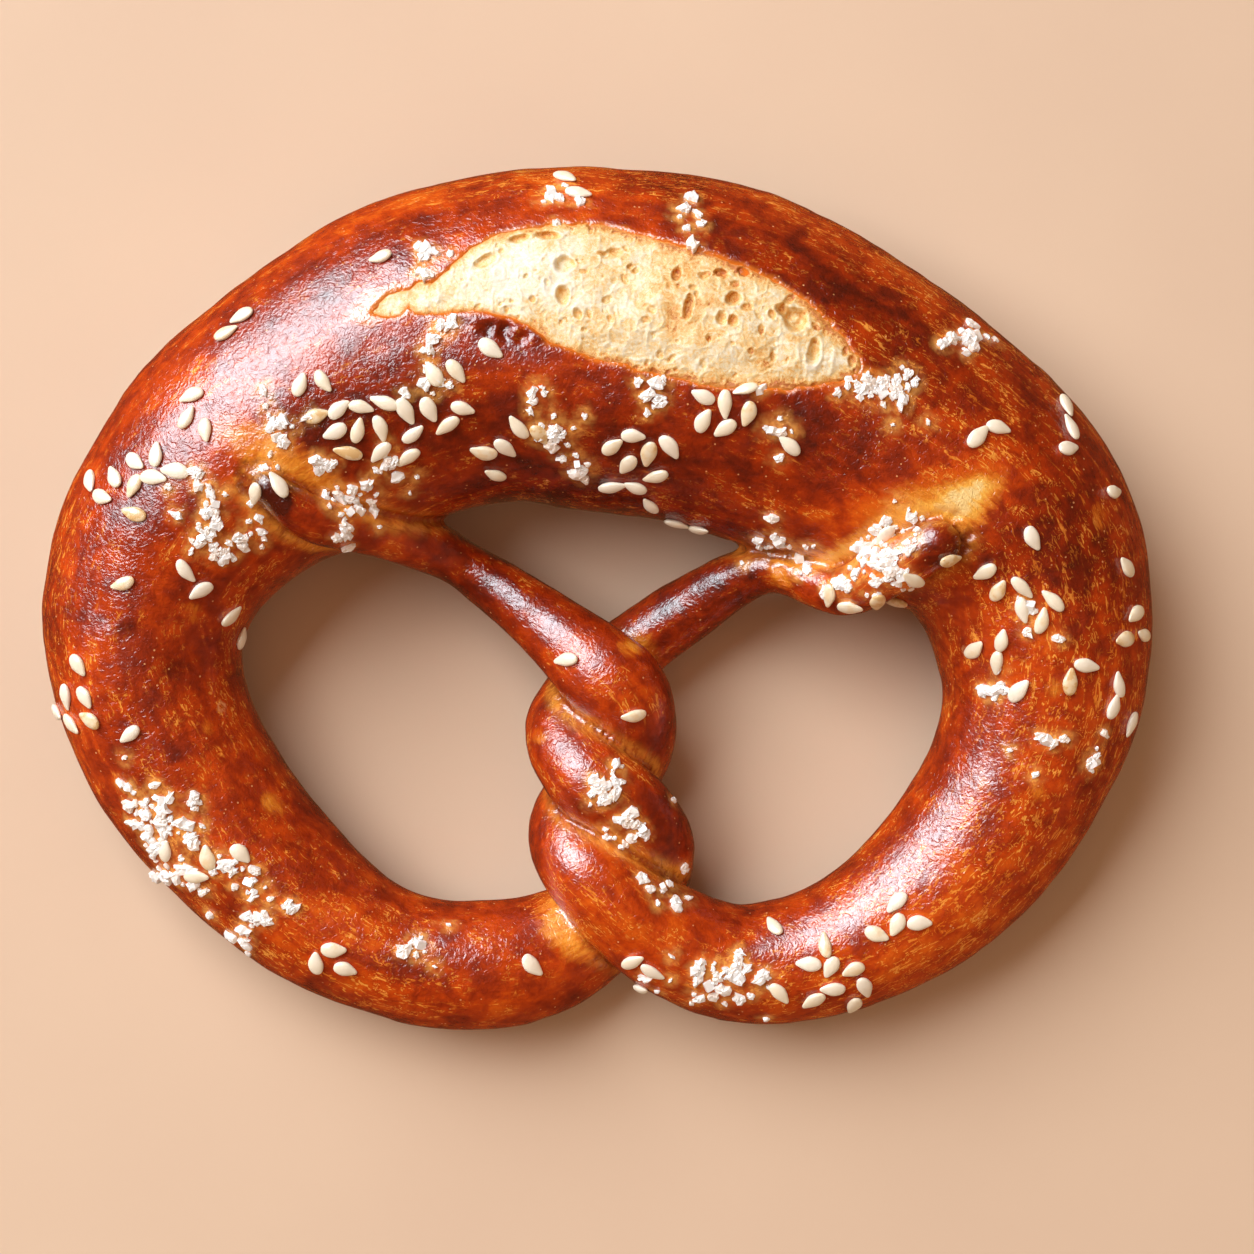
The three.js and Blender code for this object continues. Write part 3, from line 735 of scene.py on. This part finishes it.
def crumb_piece():
    draw = np.random.default_rng(31)
    margin = 1.5
    low = np.min(BURST_EDGE, axis=0) - (7, margin)
    high = np.max(BURST_EDGE, axis=0) + margin
    xs = np.arange(low[0], high[0], CRUMB_GAP)
    ys = np.arange(low[1], high[1], CRUMB_GAP)
    x, y = (grid.ravel() for grid in np.meshgrid(xs, ys, indexing="ij"))
    inside = inside_burst(x, y)
    kept = inside > -CRUMB_UNDER_LIP
    number = np.where(kept, np.cumsum(kept) - 1, -1).reshape(len(xs), len(ys))
    x, y, inside = x[kept], y[kept], inside[kept]
    starts = in_metres(np.stack([x, y, np.full(len(x), ABOVE_ALL)], axis=1))
    top = np.array([smooth_dough.ray_cast(Vector(start), DOWN)[0].z for start in starts]) / MM
    flat = np.stack([x, y, np.zeros(len(x))], axis=1)
    warped = flat + 0.5 * np.stack([lumps(flat, 1.6, 26), lumps(flat, 1.6, 27), flat[:, 2]], axis=1)

    deep = CRUMB_EDGE_DEPTH * (1 - step(inside, -0.6, 0.4)) - CRUMB_SWELL * step(inside, 1, 6)
    deep += 0.4 * lumps(flat, 5.0, 21) * step(inside, 0, 3) + 0.14 * lumps(flat, 2.2, 22)
    walls = np.zeros(len(x))
    for size, height, seed in WEBS:
        wall = 1 - step(np.abs(lumps(warped, size, seed)), 0.0, 0.22)
        walls = np.maximum(walls, wall * height / WEBS[0][1])
        deep -= height * wall
    deep += CRUMB_SINK
    # Painted shade inside the holes and painted light on their rims and on the webs, for the material.
    hole_shade = np.zeros(len(x))
    lit_rim = np.zeros(len(x))

    def press(hole_x, hole_y, half_length, half_width, turn, depth):
        close = np.nonzero(np.hypot(x - hole_x, y - hole_y) < 2.2 * max(half_length, half_width))[0]
        along, across = turned(x[close] - hole_x, y[close] - hole_y, turn)
        away = np.hypot(along / half_length, across / half_width)
        away = away * (1 + 0.14 * lumps(flat[close], 1.0, 28))
        edge = np.exp(-((away - 1.15) / 0.16) ** 2)
        bowl = 1 - step(away, 0.5, 1.05)
        calm = 1 - step(away, 0.9, 1.2)
        deep[close] += 0.7 * depth * bowl - 0.10 * edge * min(depth, 1)
        hole_shade[close] = np.maximum(hole_shade[close], 1 - step(away, 0.6, 1.1))
        lit_rim[close] = np.maximum(lit_rim[close] * (1 - calm), edge)
        walls[close] *= 1 - calm

    for large in LARGE_HOLES:
        press(*large)
    for _ in range(SMALL_HOLES):
        size = 0.15 + 0.45 * draw.random() ** 3
        press(draw.uniform(low[0], high[0]), draw.uniform(low[1], high[1]), size * (1 + draw.random()),
              size, draw.uniform(0, 180), 0.6 * size + 0.08)

    # Toasted in patches, more to the right and along the edge, which is widest away from the left.
    wide_edge = (1 - step(inside, 0.2, 2.6)) * step(x - 0.8 * y, -60, -15)
    toast = 0.30 + 0.14 * step(x, -12, 16) + 0.3 * wide_edge
    toast += 0.3 * (1 - step(inside, 0.1, 1.5)) + 0.24 * lumps(flat, 6.0, 29) + 0.16 * lumps(flat, 2.0, 30)

    corners = [number[:-1, :-1], number[1:, :-1], number[1:, 1:], number[:-1, 1:]]
    faces = np.stack(corners, -1).reshape(-1, 4)
    faces = faces[(faces >= 0).all(1)]
    made = mesh_object("crumb", np.stack([x, y, top - deep], axis=1), faces.tolist())
    store(made, "hole_shade", hole_shade)
    store(made, "lit_rim", np.maximum(lit_rim, walls))
    store(made, "inside", inside)
    store(made, "toast", toast)
    return made


def crumb_material():
    m = Material("open_crumb")
    place = m.place()
    specks = m.noise(place, 0.7, 4.0, 0.65, 0.8)
    threads = m.noise(place, 1.5, 3.0, 0.6, 2.2)
    threads = m.threads(threads, 0.5, 0.045, 0.0)
    tone = m.plus(m.stored("toast"), m.band(specks, 0.3, 0.7, -0.06, 0.30))
    tone = m.plus(tone, m.times(threads, -0.24))
    # Painted shade makes the holes more golden, and painted light makes their rims and the webs paler.
    tone = m.plus(tone, m.times(m.stored("hole_shade"), 0.20))
    tone = m.plus(tone, m.times(m.stored("lit_rim"), -0.20))
    colour = m.ramp(tone, CRUMB_TOASTS)
    colour = m.mix(m.band(m.stored("inside"), 0.6, -0.1), colour, (0.82, 0.34, 0.05))
    web = m.noise(place, 0.3, 3.0, 0.6, 1.0)
    m.set(Base_Color=colour, Roughness=0.6, Normal=m.bump(web, 0.11, 0.8), Specular_IOR_Level=0.3)
    return m.material


crumb = crumb_piece()
crumb.data.materials.append(crumb_material())
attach(crumb, "root")

# ---- Sesame seeds ------------------------
# Hulled white sesame, strewn on the wet dough and baked on: flat drops that lie on the crust, sunk
# in it a little. Each patch has x, y, how far it reaches in x and y, and its number of seeds.

SEED_LENGTH = 3.6
SEED_WIDTH = 2.0
SEED_THICKNESS = 1.05
SEED_RISE = 0.85
SEED_CLEAR = 3
SEED_SIDES = 16
SEED_RINGS = 13
SEED_TONES = [(0.0, (0.95, 0.88, 0.74)), (0.7, (0.92, 0.82, 0.62)), (0.93, (0.87, 0.67, 0.40)),
              (1.0, (0.76, 0.50, 0.22))]
SEED_PATCHES = [
    (-3, 54, 0.5, 2, 2), (-28, 44, 0, 0, 1), (-47, 36.5, 5, 1.5, 2), (-53, 23.5, 5, 3, 3),
    (-37, 27.5, 1, 1.2, 2), (-31, 22.5, 5, 3, 9), (-24, 22, 4, 4, 4), (-18.5, 29, 2.5, 1, 2),
    (-18.5, 24, 2, 0.5, 2), (-13.5, 32, 0, 0, 1), (-9.5, 22, 2, 1.5, 2), (-13, 18.5, 1.5, 1, 3),
    (6, 19, 4, 2.5, 6), (5, 14.5, 3, 1, 3), (16.5, 24.5, 4.5, 2, 6), (25, 20, 0, 0, 1),
    (12, 10, 1.5, 0.3, 2),
    (-65, 14.5, 2, 2, 3), (-58, 16.5, 3, 2.5, 5), (-60.5, 11, 0, 0, 1), (-41.5, 14.5, 3.5, 3.5, 2),
    (-62, 2, 0, 0, 1), (-53.5, 2.5, 1.2, 1, 2), (-47.5, -4.5, 1.5, 5, 3), (-68.5, -9, 0, 0, 1),
    (-69.5, -15, 3, 1.8, 5), (-62, -18, 0, 0, 1), (-52, -35, 7, 4, 4), (-37, -48.5, 9.5, 0.8, 3),
    (-9, -49.5, 0, 0, 1),
    (50, 21, 5.5, 1.5, 2), (63, 23, 3, 4, 3), (68.5, 14, 1, 2, 1), (57, 8, 0, 0, 1), (70, 4, 0, 0, 1),
    (53, 1.5, 4, 2.5, 3), (58.5, -2, 2.5, 2.5, 3), (71.5, -4, 1.5, 1.5, 3), (52.5, -6.8, 2.5, 0.7, 3),
    (64, -9.5, 1.5, 2, 2), (69, -12.5, 1.5, 0.8, 2), (71.5, -17, 0, 0, 1), (56, -12, 0, 0, 1),
    (40, -43, 4, 3.5, 4), (24, -44.5, 0, 0, 1), (31.5, -49, 3, 2.2, 4), (31, -53, 8, 1, 5),
    (38, 8, 0.5, 2.5, 1), (46, 5, 0, 0, 1), (40, 0.5, 3, 2.5, 3), (32.5, -0.5, 1.5, 0.5, 2),
    (-4, -8, 0, 0, 1), (5, -15.5, 0, 0, 1), (6, -50.5, 1.5, 1, 3),
]
GOLDEN_ANGLE = 2.399963
SCATTER = 0.5
MOVING_ROUNDS = 12
DRAWS_FOR_PATCH = 17

baked_dough = BVHTree.FromObject(crust, bpy.context.evaluated_depsgraph_get())


def chance(number):
    """A steady draw between 0 and 1, the same on every run."""
    value = math.sin(number * 12.9898) * 43758.5453
    return value - math.floor(value)


def places_in(patches, clear):
    """Fills each patch from its middle outwards, then moves apart what lies too close together."""
    places = []
    for patch, (x, y, reach_x, reach_y, count) in enumerate(patches):
        for k in range(count):
            number = patch * DRAWS_FOR_PATCH + k + 1
            out = math.sqrt(k / count)
            turn = k * GOLDEN_ANGLE + patch
            places.append([x + reach_x * out * math.cos(turn) + SCATTER * (chance(number) - 0.5),
                           y + reach_y * out * math.sin(turn) + SCATTER * (chance(number + 0.3) - 0.5),
                           2 * math.pi * chance(number + 0.6), number])
    for _ in range(MOVING_ROUNDS):
        for k, one in enumerate(places):
            for other in places[k + 1:]:
                gap = math.hypot(other[0] - one[0], other[1] - one[1])
                if gap >= clear:
                    continue
                share = (clear - gap) / gap / 2
                for axis in (0, 1):
                    move = (other[axis] - one[axis]) * share
                    one[axis] -= move
                    other[axis] += move
    return places


def laid_on_crust(x, y, spin):
    """Where a plumb line meets the crust, and the turn that lays a thing flat there."""
    met, normal, _, _ = baked_dough.ray_cast(Vector(in_metres((x, y, ABOVE_ALL))), DOWN)
    if met is None:
        return None
    turn = Vector((0, 0, 1)).rotation_difference(normal).to_matrix()
    c, s = math.cos(spin), math.sin(spin)
    axes = np.array(turn) @ np.array([[c, -s, 0], [s, c, 0], [0, 0, 1]])
    return in_millimetres(met), axes


def joined(name, shapes):
    """One mesh of many small shapes, each with its points, faces and tone."""
    points, faces, tones = [], [], []
    total = 0
    for shape_points, shape_faces, tone in shapes:
        points.append(shape_points)
        faces.extend([[corner + total for corner in face] for face in shape_faces])
        tones.append(np.full(len(shape_points), tone))
        total += len(shape_points)
    made = mesh_object(name, np.concatenate(points), faces)
    store(made, "tone", np.concatenate(tones))
    return made


def seed_form():
    """A flat drop of length 1 along x, narrow at +x, with rings from end to end."""
    points = [(-0.5, 0, 0)]
    for k in range(1, SEED_RINGS):
        turn = math.pi * k / SEED_RINGS
        x = -0.5 * math.cos(turn)
        fat = 0.5 * math.sin(turn) ** 0.85 * (1 - 0.42 * step(x, -0.1, 0.5))
        for side in range(SEED_SIDES):
            a = 2 * math.pi * side / SEED_SIDES
            squared = math.copysign(abs(math.sin(a)) ** 0.9, math.sin(a))
            points.append((x, fat * math.cos(a), fat * squared))
    points.append((0.5, 0, 0))
    faces = []
    for side in range(SEED_SIDES):
        following = (side + 1) % SEED_SIDES
        faces.append([0, 1 + following, 1 + side])
        for k in range(SEED_RINGS - 2):
            first = 1 + k * SEED_SIDES
            above = first + SEED_SIDES
            faces.append([first + side, first + following, above + following, above + side])
        final = 1 + (SEED_RINGS - 2) * SEED_SIDES
        faces.append([final + side, final + following, len(points) - 1])
    return np.array(points, float), faces


def sesame_piece():
    form, faces = seed_form()
    seeds = []
    for x, y, spin, number in places_in(SEED_PATCHES, SEED_CLEAR):
        laid = laid_on_crust(x, y, spin)
        if laid is None:
            continue
        at, axes = laid
        length = SEED_LENGTH * (0.9 + 0.2 * chance(number + 0.1))
        width = SEED_WIDTH * (0.88 + 0.24 * chance(number + 0.2))
        points = form * (length, width, SEED_THICKNESS)
        points[:, 2] += SEED_RISE - SEED_THICKNESS / 2
        points[:, 1] += 0.12 * (chance(number + 0.4) - 0.5) * points[:, 0] ** 2
        tilt = 0.25 * (chance(number + 0.5) - 0.5)
        points[:, 2] += tilt * points[:, 0] * 0.5
        seeds.append((points @ axes.T + at, faces, chance(number + 0.7)))
    return joined("sesame_seeds", seeds)


def sesame_material():
    m = Material("hulled_sesame")
    place = m.place()
    tone = m.plus(m.stored("tone"), m.band(m.noise(place, 1.2, 3.0), 0.3, 0.7, -0.15, 0.15))
    bump = m.bump(m.noise(place, 0.35, 2.0), 0.05, 0.5)
    m.set(Base_Color=m.ramp(tone, SEED_TONES), Roughness=0.36, Normal=bump)
    return m.material


seeds = sesame_piece()
seeds.data.materials.append(sesame_material())
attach(seeds, "root")

# ---- Salt ------------------------
# Coarse salt in clumps: square white crystals, half sunk in the crust, with splinters and flakes
# heaped round each. A patch has x, y, how far it reaches in x and y, and its coarse crystals.

SALT_SIZE = 1.3
SALT_RISE = 0.7
SALT_TONES = [(0.3, (0.97, 0.86, 0.78)), (0.52, (0.99, 0.99, 0.985))]
SALT_PATCHES = [
    (-6, 53, 1, 1, 1), (11.5, 50.5, 1.5, 1, 1), (-41, 22.5, 2.5, 2, 2), (-20.5, 28, 1, 2, 1),
    (-27.5, 17, 1.5, 1.5, 1), (-50, 9.5, 2, 5, 3), (-32, 11.5, 4, 3, 2), (-5, 21, 4, 6, 3),
    (8, 26, 1, 2, 1), (23, 21.5, 1.5, 1, 1), (37, 26.5, 4.5, 1.5, 3), (49, 34, 3, 1.5, 2),
    (24, 7.5, 3, 1, 1), (38, 6, 4, 4.5, 3), (57, -1, 4, 1, 1), (53, -12, 1.5, 0.5, 1),
    (60, -19, 1, 1, 1), (66, -22, 1, 1, 1), (-58, -30, 3, 6, 4), (-46.5, -38, 5, 6, 3),
    (-24, -46.5, 1, 1, 1), (1.5, -25, 2.5, 2, 2), (6, -31, 2, 1.5, 1), (9, -39, 3, 2, 1),
    (18, -51, 4, 3, 3),
]
# Clumps of flakes without a coarse crystal: x, y, how far they reach in x and y, and the flakes.
FLAKE_PATCHES = [
    (37.6, 5.6, 3.3, 3.6, 26), (32.9, 1.4, 3, 1.8, 10), (41.5, 9.8, 1.2, 3.5, 9),
    (25.1, 7.2, 4, 0.7, 8), (27.5, 3.9, 1, 1, 4), (-35.6, 17.4, 1.3, 1.2, 8), (-30.6, 13.8, 2, 2, 12),
    (-51.5, 15.3, 0.9, 2, 9), (-49.5, 10.2, 2, 3, 10), (-49.1, 5.5, 1.2, 1.2, 6), (-46.8, 7.7, 1.2, 1, 7),
    (-33.3, 8.4, 1.2, 1.4, 6), (-21.8, 45.1, 1.7, 1, 9), (-22, 42.5, 0.8, 1.8, 5),
    (-19.8, 35.2, 1.2, 0.6, 4), (-21.5, 32.5, 0.8, 1.5, 5), (1.8, -26.2, 2.3, 1.2, 12),
    (-61, -27.5, 2.4, 3.4, 18), (-57, -36.5, 5, 2.2, 24), (-53.6, -27.5, 0.9, 0.9, 5),
    (-54, -32.4, 1.2, 1.2, 7), (-41.3, -41.1, 0.8, 0.8, 4), (-47, -45.5, 2.2, 1.8, 8),
    (-52.7, -42.3, 0.8, 0.8, 3), (-43.9, 9, 1.4, 0.8, 4), (-7.2, 26.6, 1.6, 1, 6), (9, 27, 0.8, 0.8, 3),
    (16.5, -51.5, 6, 3, 26), (35, 27.5, 4, 1.8, 14), (40.5, 28.5, 2, 1.2, 7), (35.5, 3, 3, 2.6, 14),
    (46, 33.5, 1.2, 2.2, 6), (3, -32.5, 1.5, 1, 5), (5, -29.5, 1.2, 1.2, 5),
]
SALT_CLEAR = 1.6
# Flakes round each coarse crystal: how many, and how far they spread.
CLOSE_FLAKES = (6, 0.9)
STRAY_FLAKES = (3, 2.6)
FLAKE_SIDES = 11
FLAKE_TOP = 0.16
REACH_OF_SPREAD = 1.7
HALO = (0.4, 1.9)


def coarse_crystal(size, number):
    """A block that is chipped at its corners, tilted so that an edge stands up."""
    points = []
    for corner in np.ndindex(2, 2, 2):
        signs = np.array(corner) * 2 - 1
        for axis in range(3):
            chipped = np.ones(3)
            chipped[axis] = 1 - 0.5 * (0.3 + 0.5 * chance(number + 0.13 * axis + sum(corner)))
            points.append(signs * chipped * (0.5, 0.4, 0.35) * size)
    return tipped(np.array(points), chance(number + 0.2), chance(number + 0.4))


def ragged_flake(size, draw):
    """A thin chip with a ragged outline and a lumpy top, and its faces."""
    count = FLAKE_SIDES
    turn = (np.arange(count) + draw.uniform(-0.3, 0.3, count)) / count * 2 * math.pi
    reach = size / 2 * draw.uniform(0.5, 1.15, count)
    across = draw.uniform(0.55, 1)
    ring = np.stack([reach * np.cos(turn), reach * np.sin(turn) * across, np.zeros(count)], axis=1)
    upper = ring * 0.88
    upper[:, 2] = FLAKE_TOP + size * draw.uniform(0.02, 0.12, count)
    ring[:, 2] = -0.3 * size
    inner = ring * 0.4
    inner[:, 2] = FLAKE_TOP + size * draw.uniform(0.05, 0.2, count)
    middle = [(0, 0, FLAKE_TOP + size * draw.uniform(0.04, 0.2))]
    points = np.concatenate([ring, upper, inner, middle])
    faces = []
    for k in range(count):
        beside = (k + 1) % count
        for low in (0, count):
            faces.append([low + k, low + beside, low + count + beside])
            faces.append([low + k, low + count + beside, low + count + k])
        faces.append([2 * count + k, 2 * count + beside, 3 * count])
    return tipped(points, draw.uniform(-0.2, 0.2), draw.uniform(-0.2, 0.2)), faces


def tipped(points, first_turn, second_turn):
    """The points turned about x and then about y."""
    for a, b, turn in ((1, 2, first_turn), (2, 0, second_turn)):
        c, s = math.cos(turn), math.sin(turn)
        points[:, [a, b]] = points[:, [a, b]] @ np.array([[c, s], [-s, c]])
    return points


def hull_faces(points):
    """The faces of the convex solid round the points."""
    hull = bmesh.new()
    corners = [hull.verts.new(point) for point in points]
    bmesh.ops.convex_hull(hull, input=corners)
    hull.verts.index_update()
    faces = [[corner.index for corner in face.verts] for face in hull.faces]
    hull.free()
    return faces


def salt_piece():
    draw = np.random.default_rng(5)
    crystals = []
    middles = []

    def lay(x, y, spin, points, faces, rise, tone):
        laid = laid_on_crust(x, y, spin)
        if laid is None:
            return
        at, axes = laid
        points[:, 2] += rise
        crystals.append((points @ axes.T + at, faces, tone))
        middles.append(at)

    def strew(x, y, spread_x, spread_y, count):
        for _ in range(count):
            size = 0.8 + 2.0 * draw.random() ** 1.7
            points, faces = ragged_flake(size, draw)
            lay(x + draw.normal(0, spread_x), y + draw.normal(0, spread_y), draw.uniform(0, 2 * math.pi),
                points, faces, 0.1 * size * draw.random(), draw.random())

    for x, y, spin, number in places_in(SALT_PATCHES, SALT_CLEAR):
        size = SALT_SIZE * (0.7 + 0.6 * chance(number + 0.1))
        points = coarse_crystal(size, number)
        lay(x, y, spin, points, hull_faces(points), SALT_RISE - size / 2, chance(number + 0.8))
        for count, spread in (CLOSE_FLAKES, STRAY_FLAKES):
            strew(x, y, spread, spread, count)
    for x, y, reach_x, reach_y, count in FLAKE_PATCHES:
        strew(x, y, reach_x / REACH_OF_SPREAD, reach_y / REACH_OF_SPREAD, count)
    made = joined("salt_crystals", crystals)
    shade(made.data, False)

    # The crust stayed paler under and round each crystal.
    grains = KDTree(len(middles))
    for k, middle in enumerate(middles):
        grains.insert(middle, k)
    grains.balance()
    gap = np.array([grains.find(point)[2] for point in crust_points.tolist()])
    store(crust, "salt_halo", 1 - step(gap, *HALO))
    return made


def salt_material():
    m = Material("coarse_salt")
    place = m.place()
    cloudy = m.noise(place, 0.5, 3.0, 0.6)
    tone = m.plus(cloudy, m.band(m.stored("tone"), 0.0, 1.0, -0.2, 0.25))
    m.set(Base_Color=m.ramp(tone, SALT_TONES), Roughness=0.25, Normal=m.bump(cloudy, 0.05, 0.4), IOR=1.54,
          Subsurface_Weight=0.25, Subsurface_Radius=(1.0, 0.95, 0.9), Subsurface_Scale=0.3 * MM)
    return m.material


salt = salt_piece()
salt.data.materials.append(salt_material())
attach(salt, "root")

# ---- Floor, light and camera ------------------------
# A pale warm floor, the soft light of a room with a window at the back left, and the camera straight
# overhead. The panes only add a cool sheen, and the walls and ceiling only light, without a sheen.

FLOOR_HALF = 3.0
FLOOR_TONES = [(0.3, (0.68, 0.50, 0.36)), (0.7, (0.71, 0.53, 0.38))]
WINDOW_PLACE = (-0.72, 0.62, 0.88)
WALL_COLOUR = (1.0, 0.80, 0.62)
CAMERA_LENS = 85
CAMERA_SENSOR = 36
CAMERA_PLACE = (4.03 * MM, -3.22 * MM, 415.3 * MM)


def floor_material():
    m = Material("pale_floor")
    colour = m.ramp(m.noise(m.place(), 60.0, 3.0), FLOOR_TONES)
    m.set(Base_Color=colour, Roughness=0.8, Specular_IOR_Level=0.2)
    return m.material


floor_corners = np.array([(-1, -1, 0), (1, -1, 0), (1, 1, 0), (-1, 1, 0)]) * FLOOR_HALF
floor = mesh_object("floor", in_millimetres(floor_corners), [(0, 1, 2, 3)])
floor.data.materials.append(floor_material())
floor.visible_glossy = False


def soft_light(name, place, size, watts, colour, mirrored=True, lighting=True):
    """A flat lamp that faces the pretzel, mirrored in its gloss or not, and lighting it or not."""
    lamp = bpy.data.lights.new(name, "AREA")
    lamp.shape = "RECTANGLE"
    lamp.size, lamp.size_y = size
    lamp.energy = watts
    lamp.color = colour
    made = in_scene(name, lamp)
    made.location = place
    made.rotation_euler = (-Vector(place)).to_track_quat("-Z", "Y").to_euler()
    made.visible_glossy = mirrored
    made.visible_diffuse = lighting


soft_light("window", WINDOW_PLACE, (1.15, 1.15), 27, (0.97, 0.98, 1.0))
soft_light("window panes", WINDOW_PLACE, (0.9, 0.9), 72, (0.56, 0.86, 1.0), lighting=False)
soft_light("fill", (1.0, -0.8, 0.5), (0.9, 0.5), 3.4, WALL_COLOUR, mirrored=False)
soft_light("low wall", (-1.0, -0.45, 0.3), (0.9, 0.5), 1.5, WALL_COLOUR, mirrored=False)
soft_light("ceiling", (0.1, -0.1, 1.2), (1.6, 1.6), 3.2, (1.0, 0.64, 0.40), mirrored=False)

world = bpy.data.worlds.new("room")
world.use_nodes = True
background = world.node_tree.nodes["Background"]
background.inputs["Color"].default_value = (1.0, 0.48, 0.18, 1)
background.inputs["Strength"].default_value = 0.12
bpy.context.scene.world = world
bpy.context.scene.view_settings.view_transform = "Standard"

camera = in_scene("camera", bpy.data.cameras.new("camera"))
camera.data.lens = CAMERA_LENS
camera.data.sensor_width = CAMERA_SENSOR
camera.data.clip_start = 0.01
camera.location = CAMERA_PLACE
bpy.context.scene.camera = camera
